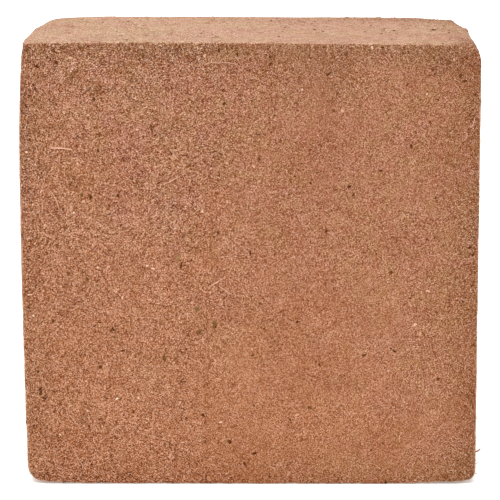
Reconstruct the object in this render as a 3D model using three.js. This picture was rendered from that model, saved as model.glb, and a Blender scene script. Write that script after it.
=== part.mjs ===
import * as THREE from 'three';
import { mergeVertices } from 'three/addons/utils/BufferGeometryUtils.js';

// One block of pressed coconut coir, standing on a narrow side.
// Millimetres, +Z up. The big front face looks to -Y, and the thickness runs along Y.

// Driving dimensions
const WIDTH = 301.6;
const HEIGHT = 300;
const THICKNESS = 120;
const FRONT_RIM = 2.5; // radius of the crisp edge round the front face
const REAR_RIM = 14; // radius of the soft edge round the rear face

// Radius of each long corner where it meets the front face and where it meets the rear face
const CORNERS = {
  topLeft: { front: 0.5, rear: 23 },
  topRight: { front: 10, rear: 19 },
  footRight: { front: 6.5, rear: 16 },
  footLeft: { front: 10.5, rear: 16 },
};
const SHARPEST_CORNER = 0.5;
const CORNER_FADE = 0.6; // how fast a corner's radius shrinks from the sides in over a face

// How far each side strays from a plain box
const LEFT_LEAN = { fullest: 59, foot: 2.3, head: 3.2 }; // inward from the fullest height
const RIGHT_LEAN = 0.5; // outward at the foot and inward at the head
const FRONT_TOP_FALL = { from: -60, drop: 1.65 };
const REAR_TOP_FALL = { from: 30, drop: 0.8, all: 0.65 };
const LEFT_TOP_FALL = { from: 45, drop: 0.45 };
const FOOT_LIFT = { flatHalf: 90, rise: 2.5 }; // the underside is flat between its worn ends
const SIDE_HOLD = 3; // power by which a side's stray dies away towards the middle of the block

// Cells of the surface along each direction
const CELLS_ACROSS = 28;
const CELLS_DEEP = 12;

const HALF_WIDTH = WIDTH / 2;
const HALF_HEIGHT = HEIGHT / 2;
const HALF_THICKNESS = THICKNESS / 2;
const { clamp, lerp, smoothstep } = THREE.MathUtils;

// Moves an even grid line towards the nearer edge, so that the cells are smallest where the form bends
function towardsEdge(value, half) {
  return half * Math.sin((value / half) * (Math.PI / 2));
}

// Turns the outer two sides of a square into one arc about its inner corner
function ontoArc(a, b) {
  const length = Math.hypot(a, b);
  const shrink = length > 0 ? Math.max(Math.abs(a), Math.abs(b)) / length : 1;
  return [a * shrink, b * shrink];
}

// Rounds the rim between a big face and the four sides, and returns how far in from the sides the point is
function roundRim(point) {
  const inset = Math.min(HALF_WIDTH - Math.abs(point.x), HALF_HEIGHT - Math.abs(point.z));
  const depth = HALF_THICKNESS - Math.abs(point.y);
  const radius = point.y < 0 ? FRONT_RIM : REAR_RIM;
  if (inset >= radius || depth >= radius) return inset;
  const [outward, towardsFace] = ontoArc(radius - inset, radius - depth);
  const newInset = radius - outward;
  point.x *= (HALF_WIDTH - newInset) / (HALF_WIDTH - inset);
  point.z *= (HALF_HEIGHT - newInset) / (HALF_HEIGHT - inset);
  point.y = Math.sign(point.y) * (HALF_THICKNESS - radius + towardsFace);
  return newInset;
}

// Rounds the long corner that the point belongs to
function roundCorner(point, inset) {
  const corner = CORNERS[(point.z > 0 ? 'top' : 'foot') + (point.x > 0 ? 'Right' : 'Left')];
  const toRear = point.y / THICKNESS + 0.5;
  const full = lerp(corner.front, corner.rear, toRear);
  const radius = Math.max(full - CORNER_FADE * inset, SHARPEST_CORNER);
  const reachX = Math.max(HALF_WIDTH - inset - radius, 0);
  const reachZ = Math.max(HALF_HEIGHT - inset - radius, 0);
  const centreX = clamp(point.x, -reachX, reachX);
  const centreZ = clamp(point.z, -reachZ, reachZ);
  const [dx, dz] = ontoArc(point.x - centreX, point.z - centreZ);
  point.x = centreX + dx;
  point.z = centreZ + dz;
}

// The left side is fullest above the middle and leans in from there
function leanLeft(z) {
  const { fullest, foot, head } = LEFT_LEAN;
  if (z < fullest) return foot * ((fullest - z) / (fullest + HALF_HEIGHT)) ** 2;
  return head * ((z - fullest) / (HALF_HEIGHT - fullest)) ** 2;
}

// The right side is straight and leans in towards the top
function leanRight(z) {
  return (-RIGHT_LEAN * z) / HALF_HEIGHT;
}

// The top runs down to the right, and down a touch at its left end. Its rear edge lies a little lower
function fallOfTop(x, toRear) {
  const front = smoothstep(x, FRONT_TOP_FALL.from, HALF_WIDTH) * FRONT_TOP_FALL.drop;
  const rear = REAR_TOP_FALL.all + smoothstep(x, REAR_TOP_FALL.from, HALF_WIDTH) * REAR_TOP_FALL.drop;
  const left = smoothstep(-x, LEFT_TOP_FALL.from, HALF_WIDTH) * LEFT_TOP_FALL.drop;
  return lerp(front, rear, toRear) + left;
}

// The two ends of the underside are worn up from the surface it stands on
function liftOfFoot(x) {
  const { flatHalf, rise } = FOOT_LIFT;
  return rise * clamp((Math.abs(x) - flatHalf) / (HALF_WIDTH - flatHalf), 0, 1) ** 2;
}

// Lets each side stray from the plain box, and leaves the middle of the block where it is
function strayFromBox(point) {
  const { x, z } = point;
  const toRear = point.y / THICKNESS + 0.5;
  const sideShare = clamp(Math.abs(x) / HALF_WIDTH, 0, 1) ** SIDE_HOLD;
  const levelShare = clamp(Math.abs(z) / HALF_HEIGHT, 0, 1) ** SIDE_HOLD;
  point.x += sideShare * (x < 0 ? leanLeft(z) : leanRight(z));
  point.z += levelShare * (z < 0 ? liftOfFoot(x) : -fallOfTop(x, toRear));
}

function makeBlockGeometry() {
  const box = new THREE.BoxGeometry(WIDTH, THICKNESS, HEIGHT, CELLS_ACROSS, CELLS_DEEP, CELLS_ACROSS);
  box.deleteAttribute('normal');
  box.deleteAttribute('uv');
  const geometry = mergeVertices(box);
  const position = geometry.getAttribute('position');
  const point = new THREE.Vector3();
  for (let i = 0; i < position.count; i += 1) {
    point.fromBufferAttribute(position, i);
    point.x = towardsEdge(point.x, HALF_WIDTH);
    point.y = towardsEdge(point.y, HALF_THICKNESS);
    point.z = towardsEdge(point.z, HALF_HEIGHT);
    const inset = roundRim(point);
    roundCorner(point, inset);
    strayFromBox(point);
    position.setXYZ(i, point.x, point.y, point.z);
  }
  geometry.computeBoundingBox();
  const { min, max } = geometry.boundingBox;
  geometry.translate(-(min.x + max.x) / 2, -(min.y + max.y) / 2, -min.z);
  geometry.computeVertexNormals();
  return geometry;
}

const coir = new THREE.MeshStandardMaterial({ color: 0xb27a5b, roughness: 0.95, metalness: 0 });
const block = new THREE.Mesh(makeBlockGeometry(), coir);
block.name = 'coir_block';

const part = new THREE.Group();
part.add(block);

export default part;
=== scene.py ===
import itertools
import math
from collections import namedtuple

import bpy
import numpy as np
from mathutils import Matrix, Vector
from mathutils.bvhtree import BVHTree


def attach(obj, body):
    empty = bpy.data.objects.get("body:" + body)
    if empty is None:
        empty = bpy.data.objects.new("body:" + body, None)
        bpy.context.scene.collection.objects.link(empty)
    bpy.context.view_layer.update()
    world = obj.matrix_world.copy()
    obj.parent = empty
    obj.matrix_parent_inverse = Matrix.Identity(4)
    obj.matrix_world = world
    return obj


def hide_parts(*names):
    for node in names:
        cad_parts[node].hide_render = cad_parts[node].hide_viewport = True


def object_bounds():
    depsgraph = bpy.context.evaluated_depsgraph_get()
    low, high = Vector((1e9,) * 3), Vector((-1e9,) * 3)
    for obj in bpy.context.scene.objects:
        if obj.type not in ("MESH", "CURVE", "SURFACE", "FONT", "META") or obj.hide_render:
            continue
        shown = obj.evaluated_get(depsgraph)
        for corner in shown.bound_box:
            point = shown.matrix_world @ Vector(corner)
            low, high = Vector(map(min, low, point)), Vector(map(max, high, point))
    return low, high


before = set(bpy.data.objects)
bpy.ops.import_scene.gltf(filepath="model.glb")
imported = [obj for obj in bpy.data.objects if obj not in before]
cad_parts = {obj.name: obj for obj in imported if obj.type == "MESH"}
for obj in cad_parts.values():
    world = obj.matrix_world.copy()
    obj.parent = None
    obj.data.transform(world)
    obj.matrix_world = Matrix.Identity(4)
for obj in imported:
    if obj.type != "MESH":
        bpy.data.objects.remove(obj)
cad_low, cad_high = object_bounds()

# One block of pressed coconut coir, standing on a narrow side. Its form is worked out in millimetres about
# the middle of the plain block that the mould gives. It goes into the scene in metres, centred over the
# solid and with its foot at the same height.

MM = 0.001
WIDTH = 301.6
HEIGHT = 300.0
THICKNESS = 120.0
HALF = np.array([WIDTH, THICKNESS, HEIGHT]) / 2
FRONT_RIM = 2.5  # radius of the crisp edge round the front face
REAR_RIM = 14.0  # radius of the soft edge round the rear face

# Radius of each long corner at the front face and at the rear face, by side of the middle: (right, top)
CORNERS = {
    (False, True): (0.5, 23.0),
    (True, True): (10.0, 19.0),
    (True, False): (6.5, 16.0),
    (False, False): (10.5, 16.0),
}
SHARPEST_CORNER = 0.5
CORNER_FADE = 0.6  # how fast a corner's radius shrinks from the sides in over a face

# How far each side strays from a plain box
LEFT_FULLEST, LEFT_FOOT_LEAN, LEFT_HEAD_LEAN = 59.0, 2.3, 3.2  # inward from the fullest height
RIGHT_LEAN = 0.5  # outward at the foot and inward at the head
FRONT_TOP_FALL, FRONT_TOP_FALL_FROM = 1.65, -60.0
REAR_TOP_FALL, REAR_TOP_FALL_FROM, REAR_TOP_FALL_ALL = 0.8, 30.0, 0.65
LEFT_TOP_FALL, LEFT_TOP_FALL_FROM = 0.45, 45.0
FOOT_FLAT_HALF, FOOT_RISE = 90.0, 2.5  # the underside is flat between its worn ends
SIDE_HOLD = 3  # power by which a side's stray dies away towards the middle of the block

# Places on the long corners that are worn in or stand out: middle, reach each way and height
WORN_PLACES = [
    ((132.0, 48.0, 149.0), (13.0, 16.0, 5.0), -1.0),
    ((138.0, 48.0, 147.0), (2.5, 9.0, 3.0), 0.6),
    ((142.5, 46.0, 144.5), (5.0, 12.0, 4.0), -1.7),
    ((146.6, 35.0, 142.8), (2.0, 5.0, 2.5), 1.3),
    ((149.0, 12.0, 141.0), (4.0, 10.0, 5.0), -2.3),
    ((149.0, -54.0, 143.0), (4.0, 9.0, 5.0), -0.7),
    ((-131.0, 48.0, 148.5), (9.0, 12.0, 5.0), -0.35),
    ((-140.5, 16.0, 148.5), (4.0, 9.0, 4.0), 0.5),
    ((-144.0, 4.0, 147.0), (6.0, 14.0, 5.0), 0.7),
    ((-145.5, -30.0, 147.5), (5.0, 18.0, 5.0), 0.4),
    ((-147.8, -54.0, 146.7), (4.0, 6.0, 4.0), -1.1),
    ((-95.8, 48.0, 149.7), (8.0, 8.0, 6.0), 0.5),
]

# The front end of the right shoulder has lost most of its smooth skin: where along x, y and z the wear begins
# and where it is full, and the share of the skin that is gone there
WORN_END = ((130, 141), (-18, -44), (106, 132))
WORN_END_LOSS = 0.75

# Faint places of the big faces, picked on the front one: middle and reach in x and z, and how much darker,
# duller and tawnier each is
FAINT_PLACES = [
    ((28.0, 20.0), (24.0, 95.0), 0.22, 0.0, 0.0),
    ((48.0, 84.0), (16.0, 21.0), 0.55, 0.0, -0.45),
    ((62.0, 128.0), (12.0, 10.0), 0.4, 0.0, 0.0),
    ((44.0, 126.0), (22.0, 24.0), 0.0, 0.27, 0.0),
    ((-14.0, 98.0), (14.0, 30.0), 0.25, 0.0, 0.0),
    ((-105.0, 20.0), (30.0, 45.0), -0.2, 0.0, 0.0),
    ((-76.0, 7.0), (12.0, 9.0), 0.5, 0.0, 0.0),
    ((-36.0, 5.0), (19.0, 12.0), -0.28, 0.0, 0.0),
    ((-128.0, 45.0), (20.0, 11.0), 0.4, 0.0, 0.0),
    ((-105.0, 54.0), (10.0, 9.0), -0.3, 0.0, 0.0),
    ((-133.0, 98.0), (13.0, 10.0), -0.25, 0.0, 0.0),
    ((-100.0, -75.0), (30.0, 40.0), -0.15, 0.0, 0.0),
    ((-10.0, -86.0), (11.0, 16.0), -0.3, 0.0, 0.0),
    ((95.0, -55.0), (34.0, 50.0), -0.12, 0.0, 0.0),
    ((122.0, -100.0), (16.0, 17.0), -0.35, 0.0, 0.0),
    ((115.0, 50.0), (13.0, 17.0), -0.3, 0.0, 0.0),
    ((112.0, 128.0), (14.0, 14.0), -0.2, 0.0, 0.0),
    ((128.0, 138.0), (20.0, 14.0), 0.45, 0.3, 0.0),
    ((140.0, -140.0), (22.0, 16.0), 0.35, 0.25, 0.0),
    ((90.0, -143.0), (90.0, 14.0), 0.0, 0.0, 0.6),
    ((-148.0, 98.0), (9.0, 42.0), 0.45, 0.3, 0.0),
    ((-147.0, -70.0), (15.0, 80.0), 0.0, 0.0, 0.35),
    ((-138.0, 142.0), (16.0, 9.0), 0.4, 0.0, 0.0),
    ((-97.0, -38.0), (9.0, 9.0), 0.45, 0.0, 0.0),
    ((90.0, 60.0), (9.0, 14.0), 0.3, 0.0, 0.0),
    ((75.0, 146.0), (50.0, 12.0), 0.0, 0.18, 0.0),
]

# Painted shade: the big faces are painted darker and duller towards their margins: how much darker, how much
# duller, and how far that reaches in
MARGIN_AT_LEFT, MARGIN_AT_RIGHT = (0.5, 0.2, 18.0), (1.2, 0.42, 17.0)
MARGIN_AT_HEAD, MARGIN_AT_FOOT = (0.85, 0.55, 15.0), (0.9, 0.08, 13.0)

# The fine surface
CELLS_ACROSS = 166
CELLS_DEEP = 62
EDGE_CROWDING = 0.5  # share by which grid lines close up towards the edges

# Odd numbers that scatter the heights at a lattice's corners
SCATTER = (127.1, 311.7, 74.7)
SCATTER_SPREAD = 43758.5453
SEED_STRIDE = 17.3


def smoothstep(value, start, end):
    """0 at start and before it, 1 at end and beyond it, and a soft rise between. End may be the lower one."""
    share = np.clip((value - start) / (end - start), 0, 1)
    return share * share * (3 - 2 * share)


def lumps(points, size, seed):
    """Smooth random heights from -1 to 1, a lump about every size millimetres. Each use has its own seed."""
    cells = points / size + seed * SEED_STRIDE
    corner = np.floor(cells)
    share = cells - corner
    share = share * share * (3 - 2 * share)
    height = np.zeros(len(points))
    for step in itertools.product((0, 1), repeat=3):
        drawn = np.sin((corner + step) @ SCATTER + seed) * SCATTER_SPREAD
        near = np.prod(np.where(step, share, 1 - share), axis=1)
        height += (drawn - np.floor(drawn)) * near
    return height * 2 - 1


def unit(vectors):
    return vectors / np.maximum(np.linalg.norm(vectors, axis=-1, keepdims=True), 1e-9)


# The form of the block

def block_lattice():
    """The lattice steps on a box's surface, its outward quads, and each quad corner's place on a flat map."""
    counts = (CELLS_ACROSS, CELLS_DEEP, CELLS_ACROSS)
    round_a_quad = ((0, 0), (1, 0), (1, 1), (0, 1))
    sheets, maps = [], []
    for axis in range(3):
        u, v = (axis + 1) % 3, (axis + 2) % 3
        i, j = np.meshgrid(np.arange(counts[u]), np.arange(counts[v]), indexing="ij")
        for end in (0, counts[axis]):
            sheet = np.empty((i.size, 4, 3), int)
            sheet[:, :, axis] = end
            for k, (du, dv) in enumerate(round_a_quad if end else reversed(round_a_quad)):
                sheet[:, k, u] = i.ravel() + du
                sheet[:, k, v] = j.ravel() + dv
            sheets.append(sheet)
            maps.append(on_flat_map(sheet, axis, end > 0))
    corners = np.concatenate(sheets).reshape(-1, 3)
    key = (corners[:, 0] * (CELLS_DEEP + 1) + corners[:, 1]) * (CELLS_ACROSS + 1) + corners[:, 2]
    _, first, index = np.unique(key, return_index=True, return_inverse=True)
    return corners[first], index.reshape(-1, 4), np.concatenate(maps).reshape(-1, 2)


def on_flat_map(sheet, axis, far):
    """Lays the big faces side by side on the bake's map, over the four narrow sides in two columns."""
    gap = 1.5
    share = gap + sheet / (CELLS_ACROSS, CELLS_DEEP, CELLS_ACROSS) * (HALF * 2 - gap * 2)
    if axis == 1:
        across, up = share[:, :, 0], share[:, :, 2] + THICKNESS * 2
    else:
        across, up = share[:, :, 2 - axis], share[:, :, 1] + (THICKNESS if axis else 0)
    return np.stack([across + (WIDTH if far else 0), up], -1) / (WIDTH * 2)


def on_plain_box(steps):
    """Places lattice steps on the plain box, closer together towards its edges."""
    even = 2 * steps / np.array([CELLS_ACROSS, CELLS_DEEP, CELLS_ACROSS]) - 1
    crowded = np.sin(even * math.pi / 2)
    return (even + (crowded - even) * EDGE_CROWDING) * HALF


def onto_arc(a, b):
    """Turns the outer two sides of a square into one arc about its inner corner."""
    length = np.hypot(a, b)
    shrink = np.where(length > 0, np.maximum(abs(a), abs(b)) / np.maximum(length, 1e-9), 1)
    return a * shrink, b * shrink


def round_rims(x, y, z):
    """Rounds the rims between the big faces and the four sides."""
    inset = np.minimum(HALF[0] - abs(x), HALF[2] - abs(z))
    depth = HALF[1] - abs(y)
    radius = np.where(y < 0, FRONT_RIM, REAR_RIM)
    on_rim = (inset < radius) & (depth < radius)
    outward, towards_face = onto_arc(radius - inset, radius - depth)
    new_inset = np.where(on_rim, radius - outward, inset)
    x = np.where(on_rim, x * (HALF[0] - new_inset) / np.maximum(HALF[0] - inset, 1e-9), x)
    z = np.where(on_rim, z * (HALF[2] - new_inset) / np.maximum(HALF[2] - inset, 1e-9), z)
    y = np.where(on_rim, np.sign(y) * (HALF[1] - radius + towards_face), y)
    return x, y, z, new_inset


def round_corners(x, y, z, inset):
    """Rounds the four long corners."""
    to_rear = y / THICKNESS + 0.5
    full = np.zeros_like(x)
    for (right, top), (front, rear) in CORNERS.items():
        here = ((x > 0) == right) & ((z > 0) == top)
        full = np.where(here, front + (rear - front) * to_rear, full)
    radius = np.maximum(full - CORNER_FADE * inset, SHARPEST_CORNER)
    reach_x = np.maximum(HALF[0] - inset - radius, 0)
    reach_z = np.maximum(HALF[2] - inset - radius, 0)
    centre_x = np.clip(x, -reach_x, reach_x)
    centre_z = np.clip(z, -reach_z, reach_z)
    dx, dz = onto_arc(x - centre_x, z - centre_z)
    return centre_x + dx, centre_z + dz


def stray_from_box(x, y, z):
    """Lets each side stray from the plain box, and leaves the middle of the block where it is."""
    to_rear = y / THICKNESS + 0.5
    below = LEFT_FOOT_LEAN * ((LEFT_FULLEST - z) / (LEFT_FULLEST + HALF[2])) ** 2
    above = LEFT_HEAD_LEAN * ((z - LEFT_FULLEST) / (HALF[2] - LEFT_FULLEST)) ** 2
    lean = np.where(z < LEFT_FULLEST, below, above)
    front_fall = smoothstep(x, FRONT_TOP_FALL_FROM, HALF[0]) * FRONT_TOP_FALL
    rear_fall = REAR_TOP_FALL_ALL + smoothstep(x, REAR_TOP_FALL_FROM, HALF[0]) * REAR_TOP_FALL
    left_fall = smoothstep(-x, LEFT_TOP_FALL_FROM, HALF[0]) * LEFT_TOP_FALL
    fall = front_fall + (rear_fall - front_fall) * to_rear + left_fall
    lift = FOOT_RISE * np.clip((abs(x) - FOOT_FLAT_HALF) / (HALF[0] - FOOT_FLAT_HALF), 0, 1) ** 2
    side_share = (abs(x) / HALF[0]).clip(0, 1) ** SIDE_HOLD
    level_share = (abs(z) / HALF[2]).clip(0, 1) ** SIDE_HOLD
    aside = np.where(x < 0, lean, -RIGHT_LEAN * z / HALF[2])
    return x + side_share * aside, z + level_share * np.where(z < 0, lift, -fall)


def smooth_normals(points, quads):
    """The outward normal at each vertex, as the mean of the quads round it."""
    a, b, c, d = (points[quads[:, k]] for k in range(4))
    facing = np.cross(c - a, d - b)
    normals = np.zeros_like(points)
    for k in range(4):
        for axis in range(3):
            normals[:, axis] += np.bincount(quads[:, k], facing[:, axis], len(points))
    return unit(normals)


class Block:
    """The pressed block's surface: points in millimetres about its middle, quads, normals and marks.

    The marks say of each point how much it belongs to a narrow side, how much darker the pith is there, how
    coarse its grain is, and how warm, how ruddy and how dull its colour is. Darker pith near the margins of
    the big faces and on the narrow sides is painted shade, and so is duller colour near the margins; in the
    faint places both are tone of its own.
    """

    def __init__(self):
        steps, self.quads, self.flat_map = block_lattice()
        x, y, z = on_plain_box(steps).T
        x, y, z, inset = round_rims(x, y, z)
        x, z = round_corners(x, y, z, inset)
        x, z = stray_from_box(x, y, z)
        formed = np.stack([x, y, z], 1)
        lowest, highest = formed.min(0), formed.max(0)
        normals = smooth_normals(formed, self.quads)
        off_face = smoothstep(inset, 2.2, 0.3) * smoothstep(abs(normals[:, 1]), 0.9, 0.5)
        side = off_face * self.left_of_worn_end(formed)
        darker, duller, tawnier = self.face_shade(x, z)
        # Painted shade at the margins of the big faces and on the narrow sides, with the faint places' own
        # tone
        margin = darker * (1 - side) + self.painted_side_shade(formed) * side
        warm, ruddy = self.hue(formed, tawnier)
        self.marks = {
            "side": side,
            "margin": margin,
            "grit": self.coarseness(formed) + 0.15 * margin,
            "warm": warm,
            "ruddy": ruddy,
            "dull": duller,
        }
        self.points = formed + normals * self.relief(formed, inset, side)[:, None]
        self.points[:, 2] = np.maximum(self.points[:, 2], lowest[2])
        self.normals = smooth_normals(self.points, self.quads)
        middle = (np.array(cad_low) + np.array(cad_high)) / 2
        self.shift = middle / MM - (lowest + highest) / 2
        self.shift[2] = cad_low.z / MM - lowest[2]
        self.tree = BVHTree.FromPolygons(self.points.tolist(), self.quads.tolist())

    def left_of_worn_end(self, points):
        """How much of the smooth skin of the narrow sides is left. The worn end has a ragged border."""
        ragged = points.T + 9 * lumps(points, 9.0, 18) + 4 * lumps(points, 3.0, 19)
        gone = WORN_END_LOSS
        for along, (start, full) in zip(ragged, WORN_END):
            gone = gone * smoothstep(along, start, full)
        return 1 - gone

    def face_shade(self, x, z):
        """How much darker, duller and tawnier the pith of a big face is. Towards the margins the darker and
        duller pith is painted shade; in the faint places it is tone of its own.
        """
        edges = (
            (HALF[0] + x, MARGIN_AT_LEFT),
            (HALF[0] - x, MARGIN_AT_RIGHT),
            (HALF[2] - z, MARGIN_AT_HEAD),
            (HALF[2] + z, MARGIN_AT_FOOT),
        )
        darker, duller, tawnier = np.zeros((3, len(x)))
        for distance, (more_dark, more_dull, reach) in edges:
            near = np.exp(-np.maximum(distance, 0) / reach)
            darker = np.maximum(darker, more_dark * near)
            duller = np.maximum(duller, more_dull * near)
        for (middle_x, middle_z), (reach_x, reach_z), more_dark, more_dull, more_tawny in FAINT_PLACES:
            near = np.exp(-(((x - middle_x) / reach_x) ** 2) - ((z - middle_z) / reach_z) ** 2)
            darker = darker + more_dark * near
            duller = duller + more_dull * near
            tawnier = tawnier + more_tawny * near
        return darker, duller, tawnier

    def hue(self, points, tawnier):
        """How warm and how ruddy the pith is: warmer downwards and to the left, and ruddier on the right."""
        x, _, z = points.T
        patches = lumps(points, 14.0, 16)
        down_and_left = z + 0.65 * x + 15 * lumps(points, 60.0, 11) + 75 * patches
        warm = 0.9 * smoothstep(down_and_left, 130, -160) * (1 - tawnier.clip(0, 1))
        mottled = 0.8 * lumps(points, 20.0, 12) + 0.9 * lumps(points, 10.0, 13) + 1.2 * lumps(points, 4.5, 14)
        ruddier = mottled + 0.5 * patches + 0.4 * smoothstep(x, -50, 10) - 2 * tawnier
        return warm, smoothstep(ruddier, -1.05, 1.15)

    def painted_side_shade(self, points):
        """Painted shade darkens the narrow sides a little to the right and rear, and more at the right end of
        the top.
        """
        x, y, z = points.T
        # Painted shade where the top's rim falls away to the rear, and at its right end
        rear_band = smoothstep(x, 10, 100) * smoothstep(y, 14, 46)
        right_end = smoothstep(x, 114, 142)
        on_top = (1.3 * rear_band + 0.6 * right_end) * smoothstep(z, 120, 145)
        return 0.4 * smoothstep(x, -60, HALF[0]) + 0.3 * smoothstep(y, 0, HALF[1]) + on_top

    def coarseness(self, points):
        """The front face is coarsest at its left and calmest low down on its right."""
        x, y, z = points.T
        towards_calm = 0.36 * smoothstep(x - 0.1 * z, -75, 25) + 0.05 * smoothstep(z, 20, -120)
        by_place = np.where(y < 0, 1.19 - towards_calm, 1.0)
        broadly = by_place + 0.1 * lumps(points, 38.0, 7) + 0.1 * lumps(points, 17.0, 8)
        return broadly + 0.15 * lumps(points, 6.5, 9)

    def relief(self, points, inset, side):
        """How far the pressed surface stands out of the smooth form. The narrow sides are smoother."""
        rough = 1 - 0.55 * side
        height = 0.16 * lumps(points, 31.0, 1) + 0.1 * lumps(points, 11.0, 2)
        height = height + rough * (0.12 * lumps(points, 5.2, 3) + 0.14 * lumps(points, 2.6, 4))
        for middle, reach, rise in WORN_PLACES:
            height += rise * np.exp(-(((points - middle) / reach) ** 2).sum(1))
        on_front_rim = smoothstep(points[:, 1], 4 - HALF[1], 0.6 - HALF[1]) * smoothstep(inset, 3.5, 0.5)
        crumbled = 0.8 * np.maximum(lumps(points, 3.6, 5), 0) + 0.5 * np.maximum(lumps(points, 9.0, 6), 0)
        return height - on_front_rim * crumbled

    def land(self, points):
        """The nearest spot of the surface to each point, its outward direction and the quad that it is on."""
        found = [self.tree.find_nearest(Vector(point)) for point in points]
        quads = self.quads[[hit[2] for hit in found]]
        return np.array([hit[0] for hit in found]), unit(self.normals[quads].mean(1)), quads


# Meshes

def make_mesh(name, points, faces, block, marks, smooth=False):
    """A mesh from points in millimetres about the block's middle, none of them below the block's foot."""
    grounded = points.copy()
    grounded[:, 2] = np.maximum(grounded[:, 2], block.points[:, 2].min())
    mesh = bpy.data.meshes.new(name)
    corners = faces.shape[1]
    mesh.vertices.add(len(points))
    mesh.vertices.foreach_set("co", ((grounded + block.shift) * MM).astype(np.float32).ravel())
    mesh.loops.add(faces.size)
    mesh.loops.foreach_set("vertex_index", faces.astype(np.int32).ravel())
    mesh.polygons.add(len(faces))
    mesh.polygons.foreach_set("loop_start", np.arange(0, faces.size, corners, dtype=np.int32))
    mesh.polygons.foreach_set("use_smooth", np.full(len(faces), smooth))
    mesh.update(calc_edges=True)
    for key, values in marks.items():
        mesh.attributes.new(key, "FLOAT", "POINT").data.foreach_set("value", values.astype(np.float32))
    return mesh


def lay_on_map(mesh, spots):
    """Gives each face corner its place on the bake's map."""
    layer = mesh.uv_layers.new(name="OFBake", do_init=False)
    layer.uv.foreach_set("vector", spots.astype(np.float32).ravel())


def own_cells(faces):
    """Places on the bake's map that give every triangle a little cell of its own."""
    gap = 0.08
    across = math.ceil(math.sqrt(len(faces)))
    number = np.arange(len(faces))
    corner = np.stack([number % across, number // across], 1)[:, None, :]
    triangle = np.array([(gap, gap), (1 - gap, gap), (gap, 1 - gap)])
    return (corner + triangle) / across


def place(name, mesh, finish):
    """Puts a piece of the block into the scene, on the one body."""
    piece = bpy.data.objects.new(name, mesh)
    bpy.context.scene.collection.objects.link(piece)
    mesh.materials.append(finish)
    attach(piece, "root")
    return piece


class Spots:
    """Spots on the block's surface, with the directions up from it and along the bit that lies there."""

    def __init__(self, spot, up, marks, random):
        self.count = len(spot)
        self.spot = spot
        self.up = up
        self.marks = marks
        self.random = random
        self.lie(random.normal(size=(self.count, 3)))

    def lie(self, loosely):
        """Lays the bits along the surface, each as near as it can to its own given direction."""
        self.along = unit(np.cross(np.cross(self.up, loosely), self.up))
        self.across = np.cross(self.up, self.along)

    def sizes(self, low, high):
        """A random size for each spot."""
        return self.random.uniform(low, high, self.count)


def scattered_spots(block, wanted, count, seed):
    """Random spots, spread evenly over the part of the surface that is wanted."""
    random = np.random.default_rng(seed)
    a, b, c, d = (block.points[block.quads[:, k]] for k in range(4))
    area = np.linalg.norm(np.cross(c - a, d - b), axis=1) / 2
    share = area * wanted[block.quads].mean(1)
    quads = block.quads[random.choice(len(area), count, p=share / share.sum())]
    u, v = random.random((2, count, 1))
    weights = np.concatenate([(1 - u) * (1 - v), u * (1 - v), u * v, (1 - u) * v], 1)
    spot = (block.points[quads] * weights[:, :, None]).sum(1)
    up = unit((block.normals[quads] * weights[:, :, None]).sum(1))
    marks = {key: (values[quads] * weights).sum(1) for key, values in block.marks.items()}
    return Spots(spot, up, marks, random)


def chosen_spots(block, points, seed):
    """The spots of the surface that are nearest to given points."""
    spot, up, quads = block.land(points)
    marks = {key: values[quads].mean(1) for key, values in block.marks.items()}
    return Spots(spot, up, marks, np.random.default_rng(seed))


# Small forms, about 2 wide each way, to be stretched. Raggedness is how far each point of a copy strays
Form = namedtuple("Form", "points faces raggedness")

# A jagged grain, and a sliver with a ridge along its top
CRUMB = Form(
    np.array([(1, 0, -0.5), (0, 1, -0.5), (-1, 0, -0.5), (0, -1, -0.5), (0, 0, 1)]),
    np.array([(0, 1, 4), (1, 2, 4), (2, 3, 4), (3, 0, 4), (0, 3, 2), (0, 2, 1)]),
    raggedness=0.3,
)
SHRED = Form(
    np.array([(1, 0, 1), (-1, 0, 1), (0, 1, -1), (0, -1, -1)]),
    np.array([(0, 1, 3), (1, 0, 2), (0, 3, 2), (1, 2, 3)]),
    raggedness=0.25,
)


def flat_chip(sides, raggedness):
    """The form of a fleck: a flat chip, with a point above and below its middle."""
    turns = np.arange(sides) * 2 * math.pi / sides
    points = [*[(math.cos(t), math.sin(t), 0) for t in turns], (0, 0, 1), (0, 0, -1)]
    over = [(k, (k + 1) % sides, sides) for k in range(sides)]
    under = [((k + 1) % sides, k, sides + 1) for k in range(sides)]
    return Form(np.array(points), np.array(over + under), raggedness)


FLECK = flat_chip(7, raggedness=0.22)
TAIL = 3  # the lower, the more of the values drawn by uneven lie far off


def uneven(spots, middle, spread):
    """Values that mostly lie near the middle, with a few far off."""
    return middle + spread * spots.random.standard_t(TAIL, spots.count)


def stamp(form, spots, length, width, height, sunk):
    """Copies a small form onto every spot, each one stretched and made ragged in its own way."""
    strays = spots.random.uniform(-form.raggedness, form.raggedness, (spots.count, len(form.points), 3))
    ragged = form.points + strays
    sized = ragged * np.stack([length, width, height], 1)[:, None, :] / 2
    sized[:, :, 2] -= sunk[:, None]
    points = spots.spot[:, None, :] + sized[:, :, :1] * spots.along[:, None, :]
    points = points + sized[:, :, 1:2] * spots.across[:, None, :] + sized[:, :, 2:] * spots.up[:, None, :]
    every = form.faces[None] + len(form.points) * np.arange(spots.count)[:, None, None]
    return points.reshape(-1, 3), every.reshape(-1, 3)


FIBRE_STEPS = 7


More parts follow.
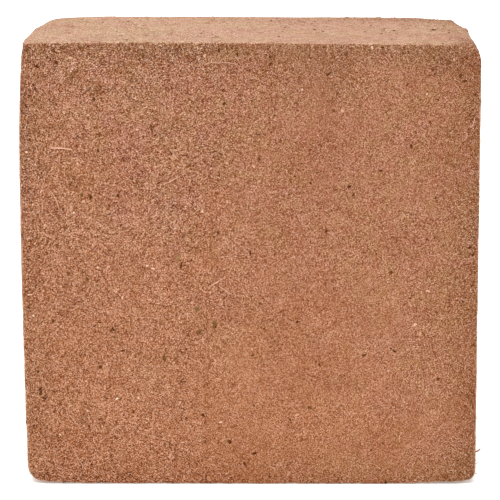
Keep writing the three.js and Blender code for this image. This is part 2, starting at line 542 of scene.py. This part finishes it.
def thread(centres, up, radius):
    """Three-sided fibres along their centre lines, with thinner ends."""
    count, rings, _ = centres.shape
    forward = unit(np.gradient(centres, axis=1))
    beside = unit(np.cross(forward, up))
    outward = np.cross(beside, forward)
    taper = 1 - 0.5 * np.linspace(-1, 1, rings) ** 4
    thick = (radius[:, None] * taper)[:, :, None]
    turns = np.array([90, 210, 330]) * math.pi / 180
    ring = [centres + thick * (math.cos(t) * beside + math.sin(t) * outward) for t in turns]
    points = np.stack(ring, 2).reshape(-1, 3)
    faces = [(0, 1, 2), tuple(3 * (rings - 1) + k for k in (0, 2, 1))]
    for step in range(rings - 1):
        for k in range(3):
            a, b = 3 * step + k, 3 * step + (k + 1) % 3
            faces += [(a, a + 3, b + 3), (a, b + 3, b)]
    every = np.array(faces)[None] + 3 * rings * np.arange(count)[:, None, None]
    return points, every.reshape(-1, 3)


def line_through(points):
    """A smooth line through a few points, with a point for each end of the fibre's steps."""
    points = np.array(points, float)
    reached = np.concatenate([[0], np.linalg.norm(np.diff(points, axis=0), axis=1).cumsum()])
    share = np.linspace(0, reached[-1], FIBRE_STEPS + 1)
    bend = len(points) - 1
    return np.stack([np.polyval(np.polyfit(reached, points[:, axis], bend), share) for axis in range(3)], 1)


def wandering_lines(spots, length, bend, waver):
    """Curved lines over the flat plane that touches the surface at each spot."""
    turn = bend[:, None] * np.linspace(-0.5, 0.5, FIBRE_STEPS)
    turn = turn + spots.random.normal(0, waver, turn.shape).cumsum(1)
    stride = length[:, None] / FIBRE_STEPS
    start = np.zeros((spots.count, 1))
    a = np.concatenate([start, (stride * np.cos(turn)).cumsum(1)], 1) - length[:, None] / 2
    b = np.concatenate([start, (stride * np.sin(turn)).cumsum(1)], 1)
    flat = spots.spot[:, None, :] + a[:, :, None] * spots.along[:, None, :]
    return flat + b[:, :, None] * spots.across[:, None, :]


# Finishes

FRONT_LIGHT = 1.5  # how much brighter the studio light shows the front face than its own colour
SIDE_LIGHT = 1.7  # the same for the top
DARKEST = -68  # how far below its middle a colour goes, so that the gaps stay brown
PALEST = 254  # how far up its strongest channel goes, so that the pale grains stay tan
LEAST = 6  # the least that a channel goes down to
CHANNEL_MOVES = (1.0, 1.1, 1.17)  # how far red, green and blue move from dark to light

# Middle colours of the pith as the picture shows them, 0 to 255, and their spread from dark to light
TAWNY, RUDDY, WARM, DULL = (177, 126.6, 90.9), (180.6, 123.5, 95), (182.6, 123.1, 87.2), (169, 126.5, 96.5)
# The narrow sides are paler: partly their smoother pressed skin, partly a painted sheen of light grazing them
TAWNY_SIDE, RUDDY_SIDE = (219.5, 178.9, 145.4), (222.5, 174.9, 149.4)
FACE_SPREAD, SIDE_SPREAD = 208, 170

FIBRE_COLOUR, FIBRE_SPREAD = (212, 156, 124), 150

# Colours of the flecks, from nearly black over olive to nearly white
FLECK_COLOURS = [
    (0.0, (76, 34, 12)),
    (0.22, (98, 53, 22)),
    (0.36, (122, 81, 42)),
    (0.5, (144, 116, 70)),
    (0.62, (190, 138, 102)),
    (0.8, (236, 182, 150)),
    (1.0, (255, 236, 208)),
]

# Sizes of what the finish of the pith draws
DUST, GRAIN, CHIP, CLUMP, BLOTCH, CLOUD = 0.45, 0.85, 3.2, 7, 14, 45


def as_light(colour, lit):
    """The surface colour that shows as a colour of the picture, 0 to 255, once it is lit."""
    shares = [c / 255 for c in colour]
    return (*[(s / 12.92 if s <= 0.04045 else ((s + 0.055) / 1.055) ** 2.4) / lit for s in shares], 1.0)


def shades(middle, spread, lit, steps=10):
    """Ramp stops from dark to light about a colour, as far as its strongest channel goes."""
    stops = []
    for step in range(steps + 1):
        position = step / steps
        move = min(max((position - 0.5) * spread, DARKEST), PALEST - max(middle))
        moved = [max(channel + move * share, LEAST) for channel, share in zip(middle, CHANNEL_MOVES)]
        stops.append((position, as_light(moved, lit)))
    return stops


class Signal:
    """A value or colour that runs through a finish. Sums with it add the nodes that work them out."""

    def __init__(self, finish, socket):
        self.finish = finish
        self.socket = socket

    def sum(self, operation, first, second):
        return self.finish.node("Math", {"operation": operation}, {0: first, 1: second})

    def __add__(self, other):
        return self.sum("ADD", self, other)

    __radd__ = __add__

    def __sub__(self, other):
        return self.sum("SUBTRACT", self, other)

    def __rsub__(self, other):
        return self.sum("SUBTRACT", other, self)

    def __mul__(self, other):
        return self.sum("MULTIPLY", self, other)

    __rmul__ = __mul__


class Finish:
    """A material, and the one method that adds its nodes."""

    def __init__(self, name):
        self.material = bpy.data.materials.new(name)
        self.material.use_nodes = True
        self.tree = self.material.node_tree
        self.shader = self.tree.nodes["Principled BSDF"]

    def feed(self, socket, value):
        if isinstance(value, Signal):
            self.tree.links.new(value.socket, socket)
        else:
            socket.default_value = value

    def node(self, kind, settings=None, inputs=None, output=0):
        made = self.tree.nodes.new("ShaderNode" + kind)
        for key, value in (settings or {}).items():
            if key == "stops":
                self.set_stops(made.color_ramp, value)
            else:
                setattr(made, key, value)
        for socket, value in (inputs or {}).items():
            self.feed(made.inputs[socket], value)
        return Signal(self, made.outputs[output])

    def set_stops(self, ramp, stops):
        while len(ramp.elements) < len(stops):
            ramp.elements.new(1.0)
        for element, (position, colour) in zip(ramp.elements, stops):
            element.position = position
            element.color = colour

    def mark(self, name):
        return self.node("Attribute", {"attribute_name": name}, output="Fac")

    def at_size(self, size):
        """The inputs of a texture with features of about size millimetres."""
        return {"Vector": self.node("TexCoord", output="Object"), "Scale": 1 / (size * MM)}

    def noise(self, size, detail=2.0):
        """Soft noise about 0, from -0.5 to 0.5."""
        inputs = {**self.at_size(size), "Detail": detail}
        return self.node("TexNoise", {"noise_dimensions": "3D"}, inputs, "Fac") - 0.5

    def cells(self, size):
        """A value about 0, from -0.5 to 0.5, drawn for each little cell of the surface."""
        drawn = self.node("TexVoronoi", {"feature": "F1"}, self.at_size(size), "Color")
        return self.node("SeparateColor", {}, {0: drawn}, 0) - 0.5

    def grains(self, size):
        """About 0.5 in the middle of each grain, and down to -0.5 in the gaps between them."""
        return 0.5 - self.node("TexVoronoi", {"feature": "F1"}, self.at_size(size), "Distance")

    def ramp(self, value, stops):
        return self.node("ValToRGB", {"stops": stops}, {0: value})

    def mix(self, share, first, second):
        return self.node("Mix", {"data_type": "RGBA"}, {0: share, 6: first, 7: second}, 2)

    def bump(self, height, distance, strength):
        return self.node("Bump", {}, {"Height": height, "Distance": distance * MM, "Strength": strength})

    def set(self, **values):
        for name, value in values.items():
            self.feed(self.shader.inputs[name.replace("_", " ")], value)
        return self.material


def pressed_pith():
    """Pressed pith: fine light and dark grains, paler and smoother on the narrow sides. The paler sides are
    partly their smoother skin and partly a painted sheen; the margins and sides carry painted shade.
    """
    finish = Finish("pressed_pith")
    side, margin, grit, tint = (finish.mark(name) for name in ("side", "margin", "grit", "tint"))
    dust = finish.cells(DUST)
    grain = finish.grains(GRAIN)
    chip = finish.cells(CHIP)
    clump = finish.noise(CLUMP)
    cloud = finish.noise(CLOUD)
    fine = (dust * 0.48 + grain * 0.42) * grit
    drift = clump * 0.13 + cloud * 0.1 + side * (chip * 0.12 + finish.noise(BLOTCH, 1) * 0.12)
    # Painted shade: the pith is darkened, in patches, by the shade painted at the margins and on the narrow
    # sides
    shade = 0.5 + fine + tint * 0.12 + drift - margin * (0.09 + clump * 0.2)
    tawny = finish.ramp(shade, shades(TAWNY, FACE_SPREAD, FRONT_LIGHT))
    ruddy = finish.ramp(shade, shades(RUDDY, FACE_SPREAD, FRONT_LIGHT))
    warm = finish.ramp(shade, shades(WARM, FACE_SPREAD, FRONT_LIGHT))
    dull = finish.ramp(shade, shades(DULL, FACE_SPREAD, FRONT_LIGHT))
    how_ruddy = finish.mark("ruddy")
    in_the_middle = finish.mix(finish.mark("warm"), finish.mix(how_ruddy, tawny, ruddy), warm)
    on_face = finish.mix(finish.mark("dull"), in_the_middle, dull)
    # Paler narrow sides: partly smoother skin, partly painted sheen
    tawny_side = finish.ramp(shade, shades(TAWNY_SIDE, SIDE_SPREAD, SIDE_LIGHT))
    ruddy_side = finish.ramp(shade, shades(RUDDY_SIDE, SIDE_SPREAD, SIDE_LIGHT))
    on_side_with_sheen = finish.mix(how_ruddy, tawny_side, ruddy_side)
    return finish.set(
        Base_Color=finish.mix(side, on_face, on_side_with_sheen),
        Roughness=0.94 - side * 0.16,
        Specular_IOR_Level=0.03,
        Normal=finish.bump(grain * 0.6 + dust * 0.4, 0.3, 0.6),
    )


def husk_fibre():
    """Pale husk fibres, a little waxy."""
    finish = Finish("husk_fibre")
    streak = finish.noise(1.6)
    shade = 0.5 + finish.mark("tint") * 0.4 + streak * 0.5
    colour = finish.ramp(shade, shades(FIBRE_COLOUR, FIBRE_SPREAD, FRONT_LIGHT))
    return finish.set(
        Base_Color=colour,
        Roughness=0.7 + streak * 0.3,
        Specular_IOR_Level=0.15,
        Normal=finish.bump(streak, 0.08, 0.5),
    )


def husk_fleck():
    """Flecks of husk skin, from dark brown over olive to nearly white."""
    finish = Finish("husk_fleck")
    mottle = finish.cells(0.6)
    shade = 0.5 + finish.mark("tint") * 0.5 + mottle * 0.16 + finish.noise(2.0) * 0.2
    stops = [(position, as_light(colour, FRONT_LIGHT)) for position, colour in FLECK_COLOURS]
    return finish.set(
        Base_Color=finish.ramp(shade, stops),
        Roughness=0.9 + mottle * 0.2,
        Specular_IOR_Level=0.03,
        Normal=finish.bump(mottle, 0.15, 0.5),
    )


def plain_floor():
    finish = Finish("plain_floor")
    return finish.set(
        Base_Color=(0.9, 0.9, 0.9, 1.0),
        Roughness=1.0,
        Specular_IOR_Level=0.0,
        Emission_Color=(1.0, 1.0, 1.0, 1.0),
        Emission_Strength=0.2,
    )


# Grains and slivers of the pith

# A kind of grain. Length, width and height are the least and most of each, and so is sunk, a share of the
# height. Tint is its middle and spread. Each step of tint lifts a grain by rise, up to the last step.
Grain = namedtuple("Grain", "form length width height tint sunk rise last_step")

PITH_CRUMB = Grain(CRUMB, (0.6, 1.35), (0.45, 0.95), (0.3, 0.65), (0.2, 0.9), (0.0, 0.2), 0.1, 4)
HUSK_SHRED = Grain(SHRED, (1.0, 2.8), (0.28, 0.6), (0.3, 0.6), (0.3, 1.9), (0.1, 0.35), 0.06, 5)


def grain_piece(name, block, spots, form, sizes, tint, finish):
    """One small form on each spot. The sizes are length, width, height and how deep each is sunk."""
    points, triangles = stamp(form, spots, *sizes)
    marks = {**spots.marks, "tint": tint}
    marks = {key: np.repeat(values, len(form.points)) for key, values in marks.items()}
    mesh = make_mesh(name, points, triangles, block, marks)
    lay_on_map(mesh, own_cells(triangles))
    place(name, mesh, finish)


def spread_grains(name, block, grain, wanted, count, finish, seed):
    """Grains half sunk in the surface, finer on the narrow sides. The darkest and palest lie the loosest."""
    spots = scattered_spots(block, wanted, count, seed)
    coarse = (1 - 0.45 * spots.marks["side"]) * spots.marks["grit"] ** 1.3
    tint = uneven(spots, *grain.tint)
    height = spots.sizes(*grain.height) * coarse
    sunk = height * (spots.sizes(*grain.sunk) - grain.rise * np.minimum(abs(tint), grain.last_step))
    sizes = (spots.sizes(*grain.length) * coarse, spots.sizes(*grain.width) * coarse, height, sunk)
    grain_piece(name, block, spots, grain.form, sizes, tint, finish)


# Flecks

FLECK_HEIGHT = (0.3, 0.5)
LOOSE_FLECK_WIDTH = (0.6, 1.5)
LOOSE_FLECK_STRETCH = (1.0, 2.4)  # length next to width
LOOSE_FLECK_LIFT, CHOSEN_FLECK_LIFT = 0.12, 0.3
DARK_FLECKS = 0.72  # share of the loose flecks that are dark
DARK_TINT, PALE_TINT = (-0.85, -0.2), (0.2, 0.5)

# Chosen flecks: x and z on the front face, or x and y on the top, length, width, turn in degrees and shade.
# The shade runs from -1, nearly black, over 0, olive, to 1, nearly white.
FRONT_FLECKS = [
    (-101.1, 112.4, 2.8, 2.4, 50, -0.45),
    (-102.9, 112.6, 1.6, 1.2, 0, 0.4),
    (-64.1, 93.5, 4.2, 1.8, 105, -0.35),
    (-16.5, 109.4, 2.2, 2.0, 40, -0.6),
    (-13.7, 109.6, 2.8, 2.2, 0, 0.1),
    (-45.1, 1.4, 5.0, 1.7, 75, -0.5),
    (-47.1, 6.4, 3.6, 2.6, 20, 0.05),
    (0.7, 9.6, 3.4, 1.2, 95, -0.7),
    (-33.4, -44.2, 5.2, 2.2, 42, -0.3),
    (-23.0, -38.8, 5.0, 2.4, 80, -0.2),
    (-34.5, -28.4, 3.8, 3.4, 0, -0.14),
    (50.2, 24.5, 1.9, 1.5, 0, -0.6),
    (31.4, -37.3, 2.0, 1.5, 30, -0.6),
    (27.8, 35.2, 2.2, 1.4, 60, -0.3),
    (65.0, 54.3, 2.6, 2.0, 15, -0.75),
    (105.2, 81.4, 2.4, 1.8, 120, -0.7),
    (54.5, 104.6, 2.2, 1.6, 30, -0.4),
    (136.8, 127.9, 2.2, 1.9, 0, -0.6),
    (139.6, 124.3, 3.0, 1.5, 5, -0.6),
    (146.6, 115.6, 1.8, 1.6, 90, -0.55),
    (128.9, 135.7, 3.2, 1.2, 0, -0.35),
    (75.9, -59.9, 3.0, 1.5, 20, -0.5),
    (95.7, -57.1, 2.4, 1.5, 140, -0.5),
    (125.2, -76.4, 2.6, 1.6, 70, -0.5),
    (-31.0, -101.5, 2.6, 2.0, 100, -0.6),
    (-13.1, -120.3, 2.6, 2.1, 45, -0.6),
    (-16.3, -120.0, 2.2, 1.6, 0, 0.05),
    (-137.9, 134.0, 2.2, 1.6, 60, -0.85),
    (-125.3, 136.5, 2.8, 2.2, 80, -0.5),
    (-114.8, 126.7, 1.7, 1.5, 0, -0.45),
    (51.5, 129.1, 4.2, 1.4, 40, -0.5),
    (62.2, 141.9, 2.6, 1.6, 0, -0.35),
    (-8.1, 141.6, 1.8, 1.6, 30, -0.7),
    (-109.9, 48.7, 3.2, 1.8, 80, -0.25),
    (-104.2, 47.2, 2.4, 2.2, 0, -0.6),
    (-86.1, 48.2, 2.4, 2.0, 100, -0.7),
    # This clump of dark flecks, with the one at (-138.7, -86.0), is dark fibre and also paints the shade of
    # the hollow it lies in
    (-138.9, -83.1, 2.8, 1.3, 40, -0.7),
    (-139.5, -86.9, 2.6, 1.2, 110, -0.45),
    (-136.7, -89.8, 3.4, 1.6, 150, -0.7),
    (-129.8, -85.3, 2.6, 1.3, 165, -0.4),
    (40.2, -96.5, 3.6, 1.6, 160, -0.4),
    (-3.5, -135.2, 3.0, 1.3, 120, -0.6),
    (-99.7, -104.3, 2.8, 1.3, 35, -0.6),
    (-145.3, 107.8, 2.6, 1.5, 130, -0.7),
    (-88.1, -90.2, 2.6, 1.1, 25, 0.9),
    (-115.9, 139.3, 2.2, 1.7, 50, 0.4),
    (-121.9, 130.2, 1.7, 1.4, 0, 0.55),
    (79.2, 146.1, 2.8, 1.4, 110, 0.6),
    (60.1, 104.5, 2.5, 2.2, 90, 0.42),
    (115.1, 115.8, 1.7, 1.4, 60, 0.65),
    (-119.8, -95.3, 2.2, 0.9, 50, 0.65),
    (-107.9, -98.5, 2.2, 1.0, 135, 0.6),
    (-115.3, 36.6, 1.7, 1.5, 0, 0.75),
    (-108.8, 44.4, 2.6, 1.8, 20, 0.45),
    (-19.3, -106.3, 2.6, 1.5, 0, 0.65),
    (-143.0, -33.0, 1.9, 1.3, 90, 0.9),
    (-74.0, -89.5, 2.2, 1.5, 140, 0.6),
    (-31.0, 37.5, 2.0, 1.6, 90, 0.65),
    (109.0, -39.0, 4.0, 2.0, 30, 0.5),
    (117.5, -16.0, 3.2, 1.5, 155, 0.45),
    (-29.0, 141.0, 2.4, 1.8, 90, 0.55),
    (-53.0, -129.5, 4.5, 1.4, 70, 0.5),
    (-67.5, 1.0, 2.4, 1.6, 20, 0.62),
    (-84.0, -20.5, 2.6, 1.5, 85, 0.5),
    (-94.5, -66.5, 2.2, 1.5, 60, 0.5),
    (-145.0, -18.7, 3.8, 1.3, 0, 0.6),
    (-142.0, 42.0, 2.0, 1.2, 110, 0.6),
    (-130.0, -36.5, 2.4, 1.9, 0, -0.45),
    (-122.0, 39.0, 2.4, 1.8, 80, -0.45),
    (-20.5, 23.5, 2.5, 1.8, 20, -0.4),
    (-97.5, 89.0, 2.4, 1.7, 10, -0.4),
    (-99.0, -68.0, 2.6, 1.9, 20, -0.5),
    (-119.5, -4.5, 2.6, 1.9, 70, -0.25),
    (-107.0, -8.5, 2.6, 2.1, 20, -0.4),
    (-84.0, -57.0, 2.5, 1.9, 0, -0.55),
    (-56.5, -62.0, 3.8, 2.4, 100, -0.3),
    (-69.0, 141.0, 4.0, 1.9, 85, -0.35),
    (-140.4, -71.5, 2.4, 1.5, 60, -0.6),
    # Part of the clump above: dark fibre and painted shade of its hollow
    (-138.7, -86.0, 3.6, 2.0, 100, -0.5),
    (0.3, 9.2, 2.0, 1.5, 90, -0.55),
    (-22.8, -40.4, 2.0, 1.5, 30, -0.5),
    (-17.2, 118.0, 2.0, 1.4, 20, -0.5),
    (-83.8, -57.0, 1.8, 1.4, 0, -0.5),
    (-29.7, -119.9, 2.0, 1.4, 70, -0.5),
    (-98.8, 78.2, 2.1, 1.6, 110, -0.6),
    (13.3, 140.3, 2.0, 1.4, 150, -0.6),
    (-48.9, 26.1, 1.8, 1.4, 40, 0.6),
    (-63.5, -1.0, 2.6, 1.3, 160, 0.75),
    (34.1, 118.7, 1.8, 1.3, 60, 0.7),
    (-126.5, -115.1, 1.8, 1.3, 120, 0.75),
    (-99.7, -0.3, 1.7, 1.3, 0, 0.6),
    (-38.0, -24.1, 2.4, 1.5, 30, 0.5),
    (-46.3, -92.8, 2.6, 1.5, 80, 0.45),
    (-14.5, 44.2, 2.4, 1.6, 100, 0.45),
    (-73.2, 92.2, 2.2, 1.4, 10, 0.6),
    (-145.6, 77.2, 1.7, 1.5, 0, 0.7),
    (-145.0, -33.9, 1.8, 1.5, 0, 0.4),
]
TOP_FLECKS = [(122.1, -3.7, 3.4, 3.4, 0, -0.35), (42.9, -8.2, 2.6, 2.4, 0, -0.3)]


def fleck_piece(name, block, spots, length, width, lift, tint, finish):
    height = spots.sizes(*FLECK_HEIGHT)
    sizes = (length, width, height, -lift - height * 0.2)
    grain_piece(name, block, spots, FLECK, sizes, tint, finish)


def spread_flecks(block, count, finish, seed):
    """Small flecks all over the block, thickest where the pith is painted darker, mostly as shade near the
    margins.
    """
    spots = scattered_spots(block, 1 + 2.5 * np.maximum(block.marks["margin"], 0), count, seed)
    width = spots.sizes(*LOOSE_FLECK_WIDTH)
    is_dark = spots.random.random(count) < DARK_FLECKS
    tint = np.where(is_dark, spots.sizes(*DARK_TINT), spots.sizes(*PALE_TINT))
    length = width * spots.sizes(*LOOSE_FLECK_STRETCH)
    fleck_piece("husk_flecks", block, spots, length, width, LOOSE_FLECK_LIFT, tint, finish)


def set_chosen_flecks(block, finish, seed):
    on_front = [(x, -HALF[1], z) for x, z, *_ in FRONT_FLECKS]
    on_top = [(x, y, HALF[2]) for x, y, *_ in TOP_FLECKS]
    spots = chosen_spots(block, on_front + on_top, seed)
    length, width, turn, tint = np.array([fleck[2:] for fleck in FRONT_FLECKS + TOP_FLECKS]).T
    turn = np.radians(turn)
    upward = np.where(np.arange(spots.count) < len(FRONT_FLECKS), 1.0, 0.0)
    spots.lie(np.stack([np.cos(turn), np.sin(turn) * (1 - upward), np.sin(turn) * upward], 1))
    fleck_piece("husk_flecks_chosen", block, spots, length, width, CHOSEN_FLECK_LIFT, tint, finish)


# Fibres

SHORTEST_FIBRE, FIBRE_SPARE = 2.5, 7.5  # the longest one is both together
FIBRE_BEND, FIBRE_WAVER = 0.9, 0.12
FIBRE_RADIUS = (0.13, 0.26)
FIBRE_TINT = (-0.2, 0.4)  # middle and spread
LOOSE_ENDS, LOOSE_END_RISE = 0.12, (0.2, 0.9)  # share of the fibres with a loose end, and its height
FIBRE_LIFT, CHOSEN_FIBRE_LIFT = 0.12, 0.35
END_LENGTH, END_LEAN, END_RADIUS = (0.8, 2.6), (0.5, 1.6), (0.08, 0.15)

# Chosen fibres on the front face: half width, shade from -1 to 1, and x and z of the points that each passes
FRONT_FIBRES = [
    (0.22, 0.55, (-26.3, 136.8), (-19.4, 136.2), (-12.5, 136.1), (-7.5, 134.6)),
    (0.30, 0.6, (-9.7, 140.6), (-7.0, 137.6)),
    (0.28, 0.4, (-23.4, 117.0), (-21.1, 121.6)),
    (0.24, 0.9, (50.2, 148.9), (50.7, 146.6), (49.3, 143.6)),
    (0.26, 0.8, (146.1, 100.4), (145.5, 96.4), (144.1, 93.6)),
    (0.26, 0.35, (-80.9, 109.4), (-77.6, 109.6), (-74.4, 111.4)),
    (0.30, 0.4, (33.0, 119.7), (34.7, 117.4)),
    (0.24, 0.4, (64.8, 116.4), (65.8, 120.7)),
    (0.5, 0.7, (-130.1, 79.8), (-123.2, 79.8), (-115.6, 78.7)),
    (0.30, 0.7, (-130.2, 51.0), (-127.8, 47.7), (-126.3, 44.4), (-124.9, 39.0)),
    (0.30, 0.5, (-56.6, 55.9), (-51.3, 57.9), (-46.7, 61.3)),
    (0.30, 0.45, (-75.6, 50.2), (-73.3, 51.9)),
    (0.30, 0.5, (-50.2, 25.1), (-46.9, 27.8)),
    (0.34, 0.6, (-25.9, -13.3), (-23.8, -11.7), (-17.3, -7.6)),
    (0.30, 0.6, (-20.3, -12.8), (-15.9, -15.9), (-11.8, -18.5)),
    (0.28, 0.45, (50.8, 23.8), (55.4, 21.1), (58.7, 17.0)),
    (0.24, 0.5, (-119.0, -122.5), (-117.3, -126.3), (-114.1, -132.8), (-110.4, -138.8)),
    (0.26, 0.45, (14.6, -90.0), (15.5, -85.5)),
    (0.30, 0.5, (-7.6, -90.0), (-6.6, -92.6)),
    (0.28, -0.9, (-127.6, 115.9), (-127.2, 112.3), (-127.3, 108.4)),
    (0.28, -0.8, (-117.6, 56.7), (-115.1, 54.1), (-111.2, 50.5)),
    (0.32, -0.9, (-28.3, 5.9), (-24.7, 6.0), (-21.3, 5.8)),
    (0.30, -1.0, (-123.6, -111.3), (-121.6, -112.0), (-119.0, -113.6)),
    (0.26, -0.9, (-135.9, -111.8), (-136.5, -116.6), (-134.5, -121.4)),
]

# Chosen fibre ends that stand out at the right side, low down: half width and the points that each passes
STANDING_FIBRES = [
    (0.55, (148.6, -57.0, -127.6), (152.4, -57.5, -127.3), (154.2, -57.8, -125.4)),
    (0.20, (150.0, -57.0, -137.5), (152.9, -57.4, -134.9)),
    (0.20, (150.2, -57.0, -142.2), (152.4, -57.4, -143.4)),
]


def fibre_piece(name, block, centres, up, radius, tint, finish):
    points, faces = thread(centres, up, radius)
    mesh = make_mesh(name, points, faces, block, {"tint": np.repeat(tint, len(points) // len(radius))})
    lay_on_map(mesh, own_cells(faces))
    place(name, mesh, finish)


def lay_down(block, lines, lift):
    """Brings fibre lines down onto the surface, each point lifted by its own height."""
    lying, up, _ = block.land(lines.reshape(-1, 3))
    up = up.reshape(lines.shape)
    return lying.reshape(lines.shape) + up * lift[:, :, None], up


def spread_fibres(name, block, wanted, count, finish, seed):
    """Fibres pressed into the surface, a few with one end come loose."""
    spots = scattered_spots(block, wanted, count, seed)
    length = SHORTEST_FIBRE + FIBRE_SPARE * spots.random.random(count) ** 2
    lines = wandering_lines(spots, length, spots.random.normal(0, FIBRE_BEND, count), FIBRE_WAVER)
    is_loose = spots.random.random(count) < LOOSE_ENDS
    loose_end = np.where(is_loose, spots.sizes(*LOOSE_END_RISE), 0)
    along = np.linspace(0, 1, FIBRE_STEPS + 1)
    lift = FIBRE_LIFT + loose_end[:, None] * along**4
    centres, up = lay_down(block, lines, lift)
    radius = spots.sizes(*FIBRE_RADIUS)
    tint = spots.random.normal(*FIBRE_TINT, count)
    fibre_piece(name, block, centres, up, radius, tint, finish)


def set_chosen_fibres(block, finish):
    lines = np.array([line_through([(x, -HALF[1], z) for x, z in fibre[2:]]) for fibre in FRONT_FIBRES])
    radius, tint = np.array([fibre[:2] for fibre in FRONT_FIBRES]).T
    centres, up = lay_down(block, lines, np.full(lines.shape[:2], CHOSEN_FIBRE_LIFT))
    fibre_piece("husk_fibres_chosen", block, centres, up, radius, tint, finish)


def stand_up_fibres(block, count, finish, seed):
    """Short fibre ends that stand out of the surface, most of them on the narrow sides and rims."""
    wanted = 0.15 + block.marks["side"]
    spots = scattered_spots(block, wanted, count, seed)
    length = spots.sizes(*END_LENGTH)
    lean = spots.sizes(*END_LEAN)
    share = np.linspace(-0.2, 1, FIBRE_STEPS + 1)[None, :, None]
    rise = length[:, None, None] * share
    aside = (length * lean)[:, None, None] * abs(share) ** 1.7
    centres = spots.spot[:, None, :] + rise * spots.up[:, None, :] + aside * spots.along[:, None, :]
    up = np.broadcast_to(spots.across[:, None, :], centres.shape)
    chosen = np.array([line_through(fibre[1:]) for fibre in STANDING_FIBRES])
    facing = np.broadcast_to((0.0, -1.0, 0.0), chosen.shape)
    radius = np.concatenate([spots.sizes(*END_RADIUS), [fibre[0] for fibre in STANDING_FIBRES]])
    tint = np.concatenate([spots.random.normal(*FIBRE_TINT, count), np.full(len(chosen), -1.0)])
    lines = np.concatenate([centres, chosen])
    fibre_piece("fibre_ends", block, lines, np.concatenate([up, facing]), radius, tint, finish)


# The block, and all that lies on each part of it

# Painted shade: the ground between the grains is darkened as the shade that falls in the gaps between them
PAINTED_GAP_SHADE = -0.35  # the surface between the grains is a little darker than they are
FACING = 0.6  # how squarely the surface of a big face looks to the front or rear, at least

# How many crumbs, shreds and fibres lie on each part
COUNTS = {"front": (28000, 40000, 700), "rear": (20000, 20000, 600), "sides": (18500, 16000, 450)}
LOOSE_FLECKS = 700
STANDING_ENDS = 140

# Seeds of the random draws. The first three go up by one from part to part
CRUMB_SEED, SHRED_SEED, FIBRE_SEED = 11, 21, 31
LOOSE_FLECK_SEED, CHOSEN_FLECK_SEED, END_SEED = 41, 42, 43


def make_body(block, finish):
    marks = {**block.marks, "tint": np.full(len(block.points), PAINTED_GAP_SHADE)}
    mesh = make_mesh("pressed_block", block.points, block.quads, block, marks, smooth=True)
    lay_on_map(mesh, block.flat_map)
    body = place("pressed_block", mesh, finish)
    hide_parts("coir_block")


def dress(block, pith, fibre, fleck):
    front = (block.normals[:, 1] < -FACING).astype(float)
    rear = (block.normals[:, 1] > FACING).astype(float)
    wanted = {"front": front, "rear": rear, "sides": 1 - front - rear}
    for number, (where, (crumbs, shreds, fibres)) in enumerate(COUNTS.items()):
        here = wanted[where]
        spread_grains(f"pith_crumbs_{where}", block, PITH_CRUMB, here, crumbs, pith, CRUMB_SEED + number)
        spread_grains(f"husk_shreds_{where}", block, HUSK_SHRED, here, shreds, pith, SHRED_SEED + number)
        spread_fibres(f"husk_fibres_{where}", block, here, fibres, fibre, FIBRE_SEED + number)
    spread_flecks(block, LOOSE_FLECKS, fleck, LOOSE_FLECK_SEED)
    set_chosen_flecks(block, fleck, CHOSEN_FLECK_SEED)
    set_chosen_fibres(block, fibre)
    stand_up_fibres(block, STANDING_ENDS, fibre, END_SEED)


# Stage, light and camera

FLOOR_REACH = 12.0
LAMP_POWER = 2.6
LAMP_SOFTNESS = math.radians(35)
TOWARDS_LAMP = (-0.12, -0.8, 1.3)


def make_floor():
    corners = [(x * FLOOR_REACH, y * FLOOR_REACH, 0) for x, y in ((-1, -1), (1, -1), (1, 1), (-1, 1))]
    mesh = bpy.data.meshes.new("floor")
    mesh.from_pydata(corners, [], [(0, 1, 2, 3)])
    mesh.materials.append(plain_floor())
    floor = bpy.data.objects.new("floor", mesh)
    bpy.context.scene.collection.objects.link(floor)


def make_light():
    world = bpy.data.worlds.new("white studio")
    world.use_nodes = True
    world.node_tree.nodes["Background"].inputs["Color"].default_value = (1, 1, 1, 1)
    world.node_tree.nodes["Background"].inputs["Strength"].default_value = 1.0
    bpy.context.scene.world = world
    softbox = bpy.data.lights.new("softbox", "SUN")
    softbox.energy = LAMP_POWER
    softbox.angle = LAMP_SOFTNESS
    lamp = bpy.data.objects.new("softbox", softbox)
    lamp.rotation_euler = Vector(TOWARDS_LAMP).to_track_quat("Z", "Y").to_euler()
    bpy.context.scene.collection.objects.link(lamp)


IMAGE_SIDE = 500  # pixels of the picture along a side
FOCAL_PIXELS = 2913.0  # focal length in the same pixels
SENSOR = 36.0  # width
CAMERA_DISTANCE = 1.9144  # metres from what it looks at
CAMERA_ELEVATION = math.radians(13.48)
CAMERA_AZIMUTH = math.radians(0.19)
AIM_ABOVE_MIDDLE = 11.6  # how far above the middle of the front face the camera looks, in millimetres


def make_camera():
    lens = bpy.data.cameras.new("camera")
    lens.sensor_width = SENSOR
    lens.lens = FOCAL_PIXELS / IMAGE_SIDE * SENSOR
    lens.clip_end = 100
    camera = bpy.data.objects.new("camera", lens)
    back = Vector((
        math.sin(CAMERA_AZIMUTH) * math.cos(CAMERA_ELEVATION),
        -math.cos(CAMERA_AZIMUTH) * math.cos(CAMERA_ELEVATION),
        math.sin(CAMERA_ELEVATION),
    ))
    aim = Vector((0, cad_low.y, (HALF[2] + AIM_ABOVE_MIDDLE) * MM))
    camera.location = aim + back * CAMERA_DISTANCE
    camera.rotation_mode = "QUATERNION"
    camera.rotation_quaternion = (-back).to_track_quat("-Z", "Y")
    bpy.context.scene.collection.objects.link(camera)
    bpy.context.scene.camera = camera


block = Block()
pith = pressed_pith()
make_body(block, pith)
dress(block, pith, husk_fibre(), husk_fleck())
make_floor()
make_light()
make_camera()
bpy.context.scene.view_settings.view_transform = "Standard"
